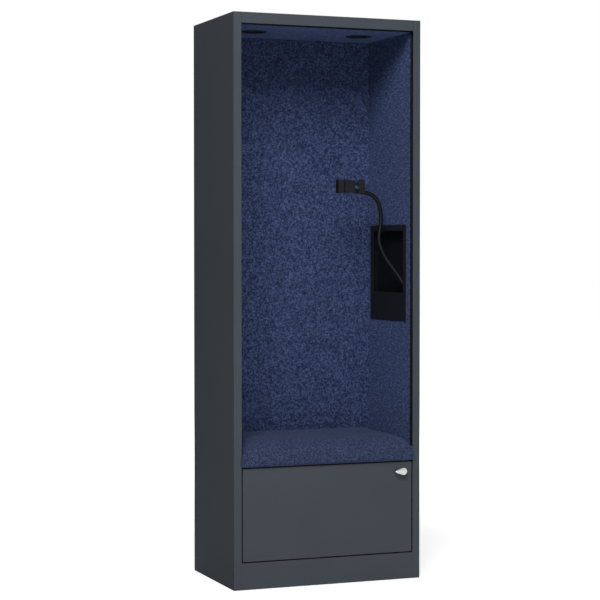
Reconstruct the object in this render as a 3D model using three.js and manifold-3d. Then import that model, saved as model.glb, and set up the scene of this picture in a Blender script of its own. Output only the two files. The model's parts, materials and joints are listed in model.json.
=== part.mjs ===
// Acoustic office pod: an open-front steel cabinet with a felt-lined seat niche, a lockable drawer under the
// seat, two ceiling lamps, a wall pocket and a phone holder on a gooseneck.
// Millimetres, +Z up, the front looks along -Y. The origin is the middle of the footprint, on the floor.
// Inside the file Y is measured from the front face, and the whole group is moved back at the end.

import * as THREE from 'three';
import { mergeVertices } from 'three/addons/utils/BufferGeometryUtils.js';
import Module from 'manifold-3d';

const wasm = await Module();
wasm.setup();

// Cabinet sizes
const WIDTH = 700;
const DEPTH = 435;
const HEIGHT = 1975;
const SHEET = 1.2; // steel sheet
const FOLD_RADIUS = 2.5; // outside radius of a folded corner
const STILE = 28; // face width of a front stile
const HEM = 10; // width of the doubled edge round the opening
const TOP_RAIL = 37; // face height of the top rail
const PLINTH = 92; // height of the kick plate
const FLANGE = 20; // width of the folded flanges that hold the sheets together
const FIT = 0.3; // gap between pieces that sit against each other
const SEAM = 0.8; // open seam between a stile and the top rail
const PAST = 1; // how far a solid that cuts or joins runs past the face it meets

// Lining sizes
const LINING_SETBACK = 25; // front edge of the felt, behind the front face
const EDGE_TRIM = 1.5; // black strip on the front edge of the felt
const BACK_BUILD = 45; // from the face of the back felt to the outside of the back
const BACK_FELT = 25;
const CEILING_DROP = 40; // from the top of the cabinet to the face of the ceiling felt
const CEILING_FELT = 12;

// Seat sizes
const DECK_HEIGHT = 406; // top of the steel deck
const DECK_FRONT = 24; // front edge of the deck, behind the drawer front
const DECK_LIP = 12; // height of the lip that the lock catches
const SEAT_BOARD = 14.4;
const CUSHION = 84; // thickness at its edges
const CUSHION_CROWN = 4; // rise of the middle of the top
const CUSHION_OVERHANG = 14; // front edge of the cushion, in front of the cabinet
const CUSHION_BULGE = 4; // swell of its front
const CUSHION_DRAW = 3; // how far its other sides are drawn in between the corners
const CUSHION_DROOP = 34; // drop of its front corners
const CUSHION_TOP_RADIUS = 32;
const CUSHION_SIDE_RADIUS = 18;
const CUSHION_BOTTOM_RADIUS = 9;
const CUSHION_SIDE_GAP = 0.5;

// Drawer sizes
const DRAWER_GAP = 4.5; // shadow gap round the drawer front
const PAN_DEPTH = 20; // depth of the folded drawer front
const DRAWER_SIDE_INSET = 11; // drawer side, inside the edge of the drawer front
const DRAWER_FLOOR_LIFT = 14; // drawer base, above the cabinet floor
const DRAWER_RIM_DROP = 9; // rim of the drawer, below the deck lip
const DRAWER_REAR_GAP = 32; // behind the drawer box, to the back panel
const RIM = 9; // inward fold on top of a drawer side
const RUNNER_HEIGHT = 45;
const RUNNER_WALL = 1.5;
const RUNNER_LEVEL = 250; // height of the runner's centre line
const RUNNER_PLAY = 0.6; // ball clearance between the members
const RUNNER_LIP = 8;
const RUNNER_END_GAP = 5; // runner ends, inside the ends of the drawer box
const BRACKET_MARGIN = 12; // bracket above and below the runner
const BRACKET_OVERRUN = 4; // bracket past each end of the runner

// Lock sizes
const LOCK_FROM_SIDE = 38.5; // lock axis, inside the right edge of the drawer front
const LOCK_FROM_TOP = 32.5; // lock axis, below the top edge of the drawer front
const BARREL_RADIUS = 9.5;
const BARREL_LENGTH = 23;
const ESCUTCHEON_RADIUS = 12.5;
const ESCUTCHEON = 2;
const SPINDLE_RADIUS = 4.6;
const KNOB_RADIUS = 13.5;
const KNOB_BEVEL = 2;
const KNOB_NECK_RADIUS = 8;
const KNOB_REACH = 20; // front of the knob, in front of the cabinet
const KNOB_THICKNESS = 10;
const LEVER = 25.5; // from the lock axis to the round end of the lever
const LEVER_RADIUS = 5.5;
const CAM_LENGTH = 19.5;
const CAM_WIDTH = 14;
const CAM = 2.5;
const CAM_CLEARANCE = 0.8; // cam, behind the deck lip
const NUT_FLATS = 24;
const NUT = 5;

// Foot sizes
const FOOT_RADIUS = 22;
const FOOT_PAD = 10;
const PAD_CHAMFER = 2;
const STUD_RADIUS = 5;
const STUD_TOP = 62;
const FOOT_CHANNEL_HEIGHT = 24; // top of the channel that carries the feet
const FOOT_CHANNEL_WIDTH = 50;
const FOOT_INSET_X = 26;
const FOOT_INSET_Y = 45;

// Lamp sizes
const LAMP_RADIUS = 46;
const LAMP_TUBE_RADIUS = 38.7;
const LAMP_LENS_RADIUS = 34.7;
const LAMP_OPEN_RADIUS = 32;
const LAMP_TRIM = 2.4;
const LAMP_TUBE = 17; // height of the tube above the face of the ceiling
const LAMP_LENS = 3;
const LAMP_LEDGE = 5; // lens, above the face of the ceiling
const LAMP_BODY = 22;
const LAMP_INSET = 121; // lamp centre, from the side felt
const LEAD_RADIUS = 2.5;
const LEAD_STRAIGHT = 10; // straight end of a lead where it enters its fitting
const LEAD_BEND = 30;
const DRIVER = new THREE.Vector3(130, 42, 20);
const DRIVER_FROM_BACK = 60; // driver's centre, in front of the face of the back felt
const INLET = new THREE.Vector3(28, 27, 18);
const INLET_PLATE = new THREE.Vector2(42, 23);
const INLET_DROP = 14.5; // inlet's centre, below the top of the cabinet

// Pocket sizes
const POCKET_FRONT = 32.5; // front edge of the bezel, behind the front edge of the felt
const POCKET_REAR = 24; // rear edge of the bezel, in front of the back felt
const POCKET_BASE = 910.5; // lower edge of the bezel, above the floor
const POCKET_HEIGHT = 345.5;
const BEZEL_SIDE = 24.5;
const BEZEL_TOP = 21.5;
const BEZEL_LOWER = 102;
const BEZEL_PLATE = 2;
const TRAY_MARGIN = 6; // tray, inside the edge of the bezel

// Phone holder sizes
const NECK_RADIUS = 7.25;
const NECK_BASE_RADIUS = 11;
const NECK_BASE_HEIGHT = 20;
const SWING_AT = 0.365; // share of the neck's length at its lower knuckle
const BEND_AT = 0.535; // share of the neck's length at its upper knuckle
const BALL_RADIUS = 8;
const BALL_STUD_RADIUS = 3.5;
const BALL_STUD = 11; // from the end of the neck to the middle of the ball
const COLLAR_RADIUS = 13;
const COLLAR_FRONT = 10; // front of the collar, in front of the ball's middle
const COLLAR_REAR = 5;
const HOLDER_GAP = 78; // between the jaw pads
const HOUSING = new THREE.Vector3(38, 12, 44);
const JAW_WALL = 10.5;
const JAW_HEIGHT = 48;
const JAW_LIP = 5;
const JAW_LIP_REACH = 13;
const JAW_CORNER = 3;
const JAW_PAD = 1.5;
const PHONE_ROOM = 10; // from the housing to the jaw lips
const TONGUE = new THREE.Vector3(40, 4, 10);
const TONGUE_OFFSET = 9; // tongue above or below the middle of the housing

// Route of the gooseneck, from its foot in the pocket to its end behind the clamp
const NECK_ROUTE = [
  [0, 0, 0], [0, 0, 38], [-1, 3, 77], [-5.5, 11, 100], [-12.5, 19, 114], [-19, 29, 132],
  [-37, 46, 164], [-55, 62, 196], [-68.5, 76, 233], [-72, 87, 265], [-67, 93, 293],
  [-60, 98, 325], [-57.5, 102, 353], [-61, 105, 381], [-70, 107, 406], [-84, 109, 422],
  [-104, 110, 432], [-123, 111.5, 434.5], [-150, 113.5, 440], [-172, 113, 448], [-187, 109.5, 453],
  [-194.3, 102.5, 453.7], [-195, 95, 453.7],
];

// Planes that several pieces share
const half = WIDTH / 2;
const skin = half - SHEET;
const inside = skin - FIT;
const opening = half - STILE;
const hemDepth = 2 * SHEET;
const behindStile = hemDepth + FIT;
const rearFlange = DEPTH - SHEET;
const backOuter = rearFlange - FIT;
const backInner = backOuter - SHEET;
const nicheBack = DEPTH - BACK_BUILD;
const ceiling = HEIGHT - CEILING_DROP;
const voidFloor = ceiling + CEILING_FELT;
const topUnder = HEIGHT - SHEET;
const cushionBottom = DECK_HEIGHT + FIT + SEAT_BOARD + FIT;
const floorTop = PLINTH - SHEET - FIT;
const lipBottom = DECK_HEIGHT - DECK_LIP;

// Solids and surfaces
function solidOf(geometry) {
  const bare = geometry.clone();
  bare.deleteAttribute('normal');
  bare.deleteAttribute('uv');
  const merged = mergeVertices(bare, 1e-4);
  const vertProperties = new Float32Array(merged.attributes.position.array);
  const triVerts = new Uint32Array(merged.index.array);
  return new wasm.Manifold(new wasm.Mesh({ numProp: 3, vertProperties, triVerts }));
}

function geometryOf(solid) {
  const mesh = solid.getMesh();
  const geometry = new THREE.BufferGeometry();
  geometry.setAttribute('position', new THREE.BufferAttribute(mesh.vertProperties, 3));
  geometry.setIndex(new THREE.BufferAttribute(mesh.triVerts, 1));
  geometry.computeVertexNormals();
  return geometry;
}

function join(first, ...others) {
  return geometryOf(others.reduce((sum, other) => sum.add(solidOf(other)), solidOf(first)));
}

function cut(body, ...tools) {
  return geometryOf(tools.reduce((rest, tool) => rest.subtract(solidOf(tool)), solidOf(body)));
}

// A box between two limits along each axis
function block([x0, x1], [y0, y1], [z0, z1]) {
  const box = new THREE.BoxGeometry(x1 - x0, y1 - y0, z1 - z0);
  return box.translate((x0 + x1) / 2, (y0 + y1) / 2, (z0 + z1) / 2);
}

const span = (middle, size) => [middle - size / 2, middle + size / 2];
const grow = ([low, high], by) => [low - by, high + by];

// A round bar along Y or Z
function barY(radius, [y0, y1], sides = 24) {
  return new THREE.CylinderGeometry(radius, radius, y1 - y0, sides).translate(0, (y0 + y1) / 2, 0);
}

function barZ(radius, [z0, z1], sides = 24) {
  return barY(radius, [z0, z1], sides).rotateX(Math.PI / 2);
}

// A turned piece about Z, from [radius, height] pairs that run up its outside
function turned(profile, sides = 32) {
  const points = profile.map(([radius, height]) => new THREE.Vector2(radius, height));
  return new THREE.LatheGeometry(points, sides).rotateX(Math.PI / 2);
}

// An outline in the XY plane, raised along Z
function raised(shape, height, options = {}) {
  const settings = { depth: height, bevelEnabled: false, curveSegments: 4, ...options };
  return new THREE.ExtrudeGeometry(shape, settings);
}

// A folded section in the XZ plane, run along Y
function folded(points, [y0, y1]) {
  const shape = new THREE.Shape(points.map(([x, z]) => new THREE.Vector2(x, z)));
  return raised(shape, y1 - y0).rotateX(Math.PI / 2).translate(0, y1, 0);
}

// A round bar along a curve
function rod(curve, radius, steps, sides = 12) {
  const turn = (2 * Math.PI) / sides;
  const ring = Array.from({ length: sides }, (_, i) => {
    return new THREE.Vector2(radius * Math.cos(i * turn), radius * Math.sin(i * turn));
  });
  return new THREE.ExtrudeGeometry(new THREE.Shape(ring), { steps, extrudePath: curve });
}

function routeOf(points) {
  return new THREE.CatmullRomCurve3(points.map((point) => new THREE.Vector3(...point)), false, 'centripetal');
}

// A stretch of a longer curve
class Stretch extends THREE.Curve {
  constructor(curve, from, to) {
    super();
    this.curve = curve;
    this.from = from;
    this.to = to;
  }

  getPoint(t, target = new THREE.Vector3()) {
    return this.curve.getPointAt(this.from + (this.to - this.from) * t, target);
  }
}

// Materials
const paint = (color, roughness, metalness = 0) => {
  return new THREE.MeshStandardMaterial({ color, roughness, metalness });
};
const STEEL_PAINT = paint(0x44484d, 0.55, 0.2);
const BLACK_PAINT = paint(0x16181b, 0.5, 0.2);
const ZINC = paint(0xa6aaad, 0.4, 0.9);
const CHROME = paint(0xd9dadb, 0.12, 1);
const FELT = paint(0x323b64, 0.95);
const FOAM = paint(0x3a3b3e, 1);
const PLYWOOD = paint(0x2b2522, 0.6);
const BLACK_PLASTIC = paint(0x17181a, 0.45);
const RUBBER = paint(0x1d1d1e, 0.85);
const LENS = paint(0x2b2d31, 0.25);

const cabinet = new THREE.Group();

function add(group, name, geometry, material, mirrored = false) {
  const mesh = new THREE.Mesh(geometry, material);
  mesh.name = name;
  if (mirrored) mesh.scale.x = -1;
  group.add(mesh);
  return mesh;
}

// The same piece on both sides of the cabinet, drawn for the right
function addPair(group, name, geometry, material) {
  add(group, `${name}_right`, geometry, material);
  add(group, `${name}_left`, geometry, material, true);
}

// Side panel: skin, front stile with a doubled edge, and rear flange, folded from one sheet
function sidePanel() {
  const corner = half - FOLD_RADIUS;
  const shape = new THREE.Shape();
  shape.moveTo(opening, 0);
  shape.lineTo(corner, 0);
  shape.absarc(corner, FOLD_RADIUS, FOLD_RADIUS, -Math.PI / 2, 0);
  shape.lineTo(half, DEPTH - FOLD_RADIUS);
  shape.absarc(corner, DEPTH - FOLD_RADIUS, FOLD_RADIUS, 0, Math.PI / 2);
  shape.lineTo(half - FLANGE, DEPTH);
  shape.lineTo(half - FLANGE, rearFlange);
  shape.lineTo(skin, rearFlange);
  shape.lineTo(skin, SHEET);
  shape.lineTo(opening + HEM, SHEET);
  shape.lineTo(opening + HEM, hemDepth);
  shape.lineTo(opening, hemDepth);
  shape.closePath();
  return raised(shape, HEIGHT);
}

// Top panel: top sheet, rail between the stiles, and flanges along the side panels
function topPanel() {
  const rail = opening - SEAM;
  const top = [topUnder, HEIGHT];
  const flange = (side) => {
    const outer = side * inside;
    const inner = side * (inside - SHEET);
    const across = [Math.min(outer, inner), Math.max(outer, inner)];
    return block(across, [2 * FLANGE, DEPTH - 2 * FLANGE], [HEIGHT - FLANGE, HEIGHT]);
  };
  return join(
    block([-inside, inside], [behindStile, backOuter], top),
    block([-rail, rail], [0, behindStile + FIT], top),
    block([-rail, rail], [0, SHEET], [HEIGHT - TOP_RAIL, HEIGHT]),
    block([-rail, rail], [0, hemDepth], [HEIGHT - TOP_RAIL, HEIGHT - TOP_RAIL + HEM]),
    flange(-1),
    flange(1),
  );
}

const inletLevel = HEIGHT - INLET_DROP;

// Back panel, with the hole for the supply inlet
function backPanel() {
  const sheet = block([-inside, inside], [backInner, backOuter], [0, topUnder - FIT]);
  const hole = block(
    span(0, INLET.x + 2 * FIT),
    grow([backInner, backOuter], PAST),
    span(inletLevel, INLET.z + 2 * FIT),
  );
  return cut(sheet, hole);
}

// Plinth: kick plate with a fold along its top and bottom
function plinthPanel() {
  const across = [FIT - opening, opening - FIT];
  return join(
    block(across, [0, SHEET], [0, PLINTH]),
    block(across, [0, FLANGE], [PLINTH - SHEET, PLINTH]),
    block(across, [0, FLANGE], [0, SHEET]),
  );
}

const footPlaces = [['left', -1], ['right', 1]].flatMap(([sideName, side]) => {
  const x = side * (inside - FOOT_INSET_X);
  return [
    { name: `levelling_foot_front_${sideName}`, x, y: FOOT_INSET_Y },
    { name: `levelling_foot_rear_${sideName}`, x, y: DEPTH - FOOT_INSET_Y },
  ];
});

// Floor panel: cabinet floor whose sides fold down and in to channels with a hole for each foot
function floorPanel() {
  const channelBottom = FOOT_CHANNEL_HEIGHT - SHEET;
  const inner = inside - SHEET;
  const lip = inside - FOOT_CHANNEL_WIDTH;
  const section = [
    [-lip, channelBottom], [-inside, channelBottom], [-inside, floorTop], [inside, floorTop],
    [inside, channelBottom], [lip, channelBottom], [lip, FOOT_CHANNEL_HEIGHT], [inner, FOOT_CHANNEL_HEIGHT],
    [inner, floorTop - SHEET], [-inner, floorTop - SHEET], [-inner, FOOT_CHANNEL_HEIGHT],
    [-lip, FOOT_CHANNEL_HEIGHT],
  ];
  const holes = footPlaces.map(({ x, y }) => {
    return barZ(STUD_RADIUS + FIT, grow([channelBottom, FOOT_CHANNEL_HEIGHT], PAST), 16).translate(x, y, 0);
  });
  return cut(folded(section, [behindStile, backInner - FIT]), ...holes);
}

// Seat deck: shelf with a lip in front, which the lock catches, and flanges along the sides and the back
function seatDeck() {
  const top = [DECK_HEIGHT - SHEET, DECK_HEIGHT];
  const rear = backInner - FIT;
  const flange = [DECK_HEIGHT - FLANGE, DECK_HEIGHT];
  const along = [2 * FLANGE, rear];
  return join(
    block([-inside, inside], [DECK_FRONT, rear], top),
    block([-inside, inside], [DECK_FRONT, DECK_FRONT + SHEET], [lipBottom, DECK_HEIGHT]),
    block([inside - SHEET, inside], along, flange),
    block([-inside, SHEET - inside], along, flange),
    block([-inside, inside], [rear - SHEET, rear], flange),
  );
}

function addCarcass() {
  addPair(cabinet, 'side_panel', sidePanel(), STEEL_PAINT);
  add(cabinet, 'top_panel', topPanel(), STEEL_PAINT);
  add(cabinet, 'back_panel', backPanel(), STEEL_PAINT);
  add(cabinet, 'plinth_panel', plinthPanel(), STEEL_PAINT);
  add(cabinet, 'floor_panel', floorPanel(), STEEL_PAINT);
  add(cabinet, 'seat_deck', seatDeck(), STEEL_PAINT);
}

// Levelling foot: round pad on a threaded stud
function addFeet() {
  const foot = turned([
    [0, 0], [FOOT_RADIUS - PAD_CHAMFER, 0], [FOOT_RADIUS, PAD_CHAMFER], [FOOT_RADIUS, FOOT_PAD / 2],
    [STUD_RADIUS + PAD_CHAMFER, FOOT_PAD], [STUD_RADIUS, FOOT_PAD], [STUD_RADIUS, STUD_TOP], [0, STUD_TOP],
  ], 16);
  for (const { name, x, y } of footPlaces) add(cabinet, name, foot, RUBBER).position.set(x, y, 0);
}

// Pocket in the right wall: its limits along Y and Z
const pocketY = [LINING_SETBACK + POCKET_FRONT, nicheBack - POCKET_REAR];
const pocketZ = [POCKET_BASE, POCKET_BASE + POCKET_HEIGHT];
const trayY = grow(pocketY, -TRAY_MARGIN);
const trayZ = grow(pocketZ, -TRAY_MARGIN);

function pocketBezel() {
  const face = opening - FIT;
  const plate = block([face - BEZEL_PLATE, face], pocketY, pocketZ);
  const hole = block(
    grow([face - BEZEL_PLATE, face], PAST),
    grow(pocketY, -BEZEL_SIDE),
    [pocketZ[0] + BEZEL_LOWER, pocketZ[1] - BEZEL_TOP],
  );
  return cut(plate, hole);
}

function pocketTray() {
  const outer = block([opening, inside], trayY, trayZ);
  const hollow = block([opening - PAST, inside - SHEET], grow(trayY, -SHEET), grow(trayZ, -SHEET));
  return cut(outer, hollow);
}

function addPocket() {
  add(cabinet, 'pocket_bezel', pocketBezel(), BLACK_PAINT);
  add(cabinet, 'pocket_tray', pocketTray(), BLACK_PAINT);
}

// Lamps: places and pieces
const lampX = opening - LAMP_INSET;
const lampY = (LINING_SETBACK + nicheBack) / 2;

function lampTrim() {
  const face = ceiling - FIT;
  const profile = [
    [LAMP_OPEN_RADIUS, face - LAMP_TRIM], [LAMP_RADIUS - LAMP_TRIM, face - LAMP_TRIM],
    [LAMP_RADIUS, face - LAMP_TRIM / 2],
    [LAMP_RADIUS, face], [LAMP_TUBE_RADIUS, face], [LAMP_TUBE_RADIUS, ceiling + LAMP_TUBE],
    [LAMP_LENS_RADIUS + FIT, ceiling + LAMP_TUBE], [LAMP_LENS_RADIUS + FIT, ceiling + LAMP_LEDGE],
    [LAMP_OPEN_RADIUS, ceiling + LAMP_LEDGE],
  ];
  return turned([...profile, profile[0]]);
}

const lensBottom = ceiling + LAMP_LEDGE + FIT;
const lampBodyBottom = lensBottom + LAMP_LENS + FIT;
const lampBodyTop = lampBodyBottom + LAMP_BODY;

function addLamps() {
  const holder = new THREE.Group();
  const lens = barZ(LAMP_LENS_RADIUS, [lensBottom, lensBottom + LAMP_LENS], 32);
  const body = barZ(LAMP_LENS_RADIUS, [lampBodyBottom, lampBodyTop], 32);
  for (const [side, x] of [['left', -lampX], ['right', lampX]]) {
    add(holder, `lamp_trim_${side}`, lampTrim(), BLACK_PAINT).position.set(x, lampY, 0);
    add(holder, `lamp_lens_${side}`, lens, LENS).position.set(x, lampY, 0);
    add(holder, `lamp_body_${side}`, body, ZINC).position.set(x, lampY, 0);
  }
  cabinet.add(holder);
}

// Driver on the ceiling felt, a lead to each lamp, and a lead to the capped inlet in the back panel
function addPower() {
  const driverY = nicheBack - DRIVER_FROM_BACK;
  const driverBottom = voidFloor + FIT;
  const driver = block(span(0, DRIVER.x), span(driverY, DRIVER.y), [driverBottom, driverBottom + DRIVER.z]);
  add(cabinet, 'lamp_driver', driver, BLACK_PLASTIC);

  const level = driverBottom + DRIVER.z / 2;
  const driverEnd = DRIVER.x / 2 + FIT;
  const lampRear = lampY + LAMP_LENS_RADIUS + FIT;
  const lampLead = rod(routeOf([
    [driverEnd, driverY, level], [driverEnd + LEAD_STRAIGHT, driverY, level],
    [lampX - LEAD_BEND, driverY, level], [lampX, driverY - LEAD_BEND, level],
    [lampX, lampRear + LEAD_STRAIGHT, level], [lampX, lampRear, level],
  ]), LEAD_RADIUS, 18, 8);
  addPair(cabinet, 'lamp_lead', lampLead, BLACK_PLASTIC);

  const inletFront = backOuter + FIT - INLET.y;
  const driverRear = driverY + DRIVER.y / 2 + FIT;
  const supplyLead = rod(routeOf([
    [0, driverRear, level], [0, driverRear + LEAD_STRAIGHT, level],
    [0, inletFront - FIT - LEAD_STRAIGHT, inletLevel], [0, inletFront - FIT, inletLevel],
  ]), LEAD_RADIUS, 8, 8);
  add(cabinet, 'supply_lead', supplyLead, BLACK_PLASTIC);

  const inlet = join(
    block(span(0, INLET.x), [inletFront, DEPTH - SHEET / 2], span(inletLevel, INLET.z)),
    block(span(0, INLET_PLATE.x), [backOuter + FIT, DEPTH], span(inletLevel, INLET_PLATE.y)),
  );
  add(cabinet, 'power_inlet', inlet, BLACK_PLASTIC);
}

// Lining: felt panels, absorber behind the back felt, and one black strip round the front edges
function edgeTrim() {
  const along = [LINING_SETBACK - FIT - EDGE_TRIM, LINING_SETBACK - FIT];
  const upright = [DECK_HEIGHT + FIT, topUnder - FIT];
  return join(
    block([-inside, inside], along, [ceiling, topUnder - FIT]),
    block([opening, inside], along, upright),
    block([-inside, -opening], along, upright),
  );
}

function addLining() {
  const wallZ = [DECK_HEIGHT + FIT, ceiling - FIT];
  const wallY = [LINING_SETBACK, nicheBack - FIT];
  const wall = block([opening, inside], wallY, wallZ);
  const pocketHole = block(grow([opening, inside], PAST), grow(trayY, FIT), grow(trayZ, FIT));
  add(cabinet, 'felt_panel_left', wall, FELT, true);
  add(cabinet, 'felt_panel_right', cut(wall, pocketHole), FELT);

  const feltRear = nicheBack + BACK_FELT;
  add(cabinet, 'felt_panel_back', block([-inside, inside], [nicheBack, feltRear], wallZ), FELT);
  add(cabinet, 'back_absorber', block([-inside, inside], [feltRear + FIT, backInner - FIT], wallZ), FOAM);

  const ceilingPanel = block([-inside, inside], [LINING_SETBACK, backInner - FIT], [ceiling, voidFloor]);
  const holes = [-lampX, lampX].map((x) => {
    return barZ(LAMP_TUBE_RADIUS + FIT, grow([ceiling, voidFloor], PAST), 32).translate(x, lampY, 0);
  });
  add(cabinet, 'felt_panel_ceiling', cut(ceilingPanel, ...holes), FELT);
  add(cabinet, 'edge_trim', edgeTrim(), BLACK_PLASTIC);
}

// Cushion: a crowned block with a full front, soft upper edges and sides drawn in between the corners
function seatCushion() {
  const halfX = opening - CUSHION_SIDE_GAP;
  const [front, rear] = [-CUSHION_OVERHANG, nicheBack - CUSHION_SIDE_GAP];
  const halfY = (rear - front) / 2;
  const halfZ = CUSHION / 2;
  const geometry = new THREE.BoxGeometry(2, 2, 2, 16, 12, 8);
  const crowded = (share) => Math.sign(share) * (1 - (1 - Math.abs(share)) ** 2);
  const point = new THREE.Vector3();
  const core = new THREE.Vector3();
  const position = geometry.attributes.position;
  for (let i = 0; i < position.count; i += 1) {
    point.fromBufferAttribute(position, i);
    const lift = ((point.z + 1) / 2) ** 3;
    const softer = (radius) => THREE.MathUtils.lerp(CUSHION_BOTTOM_RADIUS, radius, lift);
    const [side, full] = [softer(CUSHION_SIDE_RADIUS), softer(CUSHION_TOP_RADIUS)];
    const rounding = new THREE.Vector3(side, point.y < 0 ? full : side, full);
    point.set(crowded(point.x) * halfX, crowded(point.y) * halfY, crowded(point.z) * halfZ);
    const limit = new THREE.Vector3(halfX, halfY, halfZ).sub(rounding);
    core.copy(point).clamp(limit.clone().negate(), limit);
    point.sub(core).divide(rounding).normalize().multiply(rounding).add(core);

    const acrossX = 1 - (point.x / halfX) ** 2;
    const acrossY = 1 - (point.y / halfY) ** 2;
    const acrossZ = 1 - (point.z / halfZ) ** 2;
    const toFront = Math.max(0, -point.y / halfY) ** 6;
    const toRear = Math.max(0, point.y / halfY) ** 6;
    const toEnd = (Math.abs(point.x) / halfX) ** 14;
    const toTop = Math.max(0, point.z / halfZ);
    point.z += (CUSHION_CROWN * acrossX * acrossY - CUSHION_DROOP * toEnd * toFront) * toTop;
    point.y -= CUSHION_BULGE * Math.sqrt(Math.max(0, acrossX)) * acrossZ * toFront;
    point.y -= CUSHION_DRAW * acrossX * acrossZ * toRear;
    point.x -= CUSHION_DRAW * Math.sign(point.x) * acrossY * acrossZ * toEnd;
    position.setXYZ(i, point.x, point.y + (front + rear) / 2, point.z + cushionBottom + halfZ);
  }
  return geometry;
}

function addSeat() {
  const boardX = opening - 2 * CUSHION_SIDE_GAP;
  const boardBottom = DECK_HEIGHT + FIT;
  const boardY = [DECK_FRONT + SHEET, nicheBack - 2 * CUSHION_SIDE_GAP];
  const boardZ = [boardBottom, boardBottom + SEAT_BOARD];
  add(cabinet, 'seat_board', block([-boardX, boardX], boardY, boardZ), PLYWOOD);
  add(cabinet, 'seat_cushion', seatCushion(), FELT);
}

// Drawer: a folded front pan with a rear flange, and a box of sheet steel fixed to that flange
const drawerHalf = opening - DRAWER_GAP;
const drawerZ = [PLINTH + DRAWER_GAP, cushionBottom - DRAWER_GAP];
const drawerSide = drawerHalf - DRAWER_SIDE_INSET;
const boxY = [PAN_DEPTH + FIT, backInner - DRAWER_REAR_GAP];
const boxZ = [floorTop + DRAWER_FLOOR_LIFT, lipBottom - DRAWER_RIM_DROP];
const lockX = drawerHalf - LOCK_FROM_SIDE;
const lockZ = drawerZ[1] - LOCK_FROM_TOP;

function drawerFront() {
  const pan = block([-drawerHalf, drawerHalf], [0, PAN_DEPTH], drawerZ);
  const acrossHollow = [SHEET - drawerHalf, drawerHalf - SHEET];
  const acrossRear = [FLANGE - drawerHalf, drawerHalf - FLANGE];
  const hollow = block(acrossHollow, [SHEET, PAN_DEPTH - SHEET], grow(drawerZ, -SHEET));
  const rearOpening = block(acrossRear, [PAN_DEPTH / 2, PAN_DEPTH + PAST], grow(drawerZ, -FLANGE));
  const lockHole = barY(BARREL_RADIUS + FIT, [-PAST, 2 * SHEET]).translate(lockX, 0, lockZ);
  return cut(pan, hollow, rearOpening, lockHole);
}

function addDrawer() {
  add(cabinet, 'drawer_front', drawerFront(), STEEL_PAINT);
  const inner = drawerSide - SHEET;
  const side = folded([
    [inner, boxZ[0]], [drawerSide, boxZ[0]], [drawerSide, boxZ[1]], [drawerSide - RIM, boxZ[1]],
    [drawerSide - RIM, boxZ[1] - SHEET], [inner, boxZ[1] - SHEET],
  ], boxY);
  addPair(cabinet, 'drawer_side', side, STEEL_PAINT);
  const across = [FIT - inner, inner - FIT];
  add(cabinet, 'drawer_base', block(across, boxY, [boxZ[0], boxZ[0] + SHEET]), STEEL_PAINT);
  const backZ = [boxZ[0] + SHEET + FIT, boxZ[1] - SHEET - FIT];
  add(cabinet, 'drawer_back', block(across, [boxY[1] - SHEET, boxY[1]], backZ), STEEL_PAINT);
}

// Telescopic runner: three nested channels, and the bracket that carries the outer one
function channel(web, lips, halfHeight) {
  const wall = Math.sign(lips - web) * RUNNER_WALL;
  return [
    [web, RUNNER_LEVEL - halfHeight], [lips, RUNNER_LEVEL - halfHeight],
    [lips, RUNNER_LEVEL - halfHeight + RUNNER_WALL], [web + wall, RUNNER_LEVEL - halfHeight + RUNNER_WALL],
    [web + wall, RUNNER_LEVEL + halfHeight - RUNNER_WALL], [lips, RUNNER_LEVEL + halfHeight - RUNNER_WALL],
    [lips, RUNNER_LEVEL + halfHeight], [web, RUNNER_LEVEL + halfHeight],
  ];
}

function addRunners() {
  const along = grow(boxY, -RUNNER_END_GAP);
  const nest = RUNNER_WALL + RUNNER_PLAY;
  const innerWeb = drawerSide + FIT;
  const innerTips = innerWeb + RUNNER_LIP;
  const middleWeb = innerTips + RUNNER_PLAY + RUNNER_WALL;
  const outerWeb = middleWeb + nest;
  const outerTips = outerWeb - RUNNER_LIP;
  const halfHeight = RUNNER_HEIGHT / 2;
  addPair(cabinet, 'runner_outer', folded(channel(outerWeb, outerTips, halfHeight), along), ZINC);
  const middle = channel(middleWeb, middleWeb - RUNNER_LIP, halfHeight - nest);
  addPair(cabinet, 'runner_middle', folded(middle, along), ZINC);
  const inner = channel(innerWeb, innerTips, halfHeight - 2 * nest);
  addPair(cabinet, 'runner_inner', folded(inner, along), ZINC);

  const face = outerWeb + FIT;
  const bracketHalf = halfHeight + BRACKET_MARGIN;
  const bracket = channel(face, inside, bracketHalf);
  addPair(cabinet, 'runner_bracket', folded(bracket, grow(along, BRACKET_OVERRUN)), STEEL_PAINT);
}

// Lock, about its own axis along Y
function lockKnob() {
  const spread = Math.acos((KNOB_RADIUS - LEVER_RADIUS) / LEVER);
  const body = KNOB_RADIUS - KNOB_BEVEL;
  const tip = LEVER_RADIUS - KNOB_BEVEL;
  const pear = new THREE.Shape();
  pear.absarc(0, 0, body, -Math.PI + spread, Math.PI - spread);
  pear.absarc(-LEVER, 0, tip, Math.PI - spread, Math.PI + spread);
  pear.closePath();
  const plate = raised(pear, KNOB_THICKNESS - 2 * KNOB_BEVEL, {
    bevelEnabled: true,
    bevelThickness: KNOB_BEVEL,
    bevelSize: KNOB_BEVEL,
    bevelSegments: 3,
    curveSegments: 12,
  });
  plate.rotateX(Math.PI / 2).translate(0, KNOB_THICKNESS - KNOB_BEVEL - KNOB_REACH, 0);
  const neckEnd = -FIT - ESCUTCHEON - FIT;
  const camRear = DECK_FRONT + SHEET + CAM_CLEARANCE + CAM;
  return join(
    plate,
    barY(KNOB_NECK_RADIUS, [KNOB_THICKNESS - KNOB_REACH - PAST, neckEnd]),
    barY(SPINDLE_RADIUS, [neckEnd - PAST, camRear + PAST]),
  );
}

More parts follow.
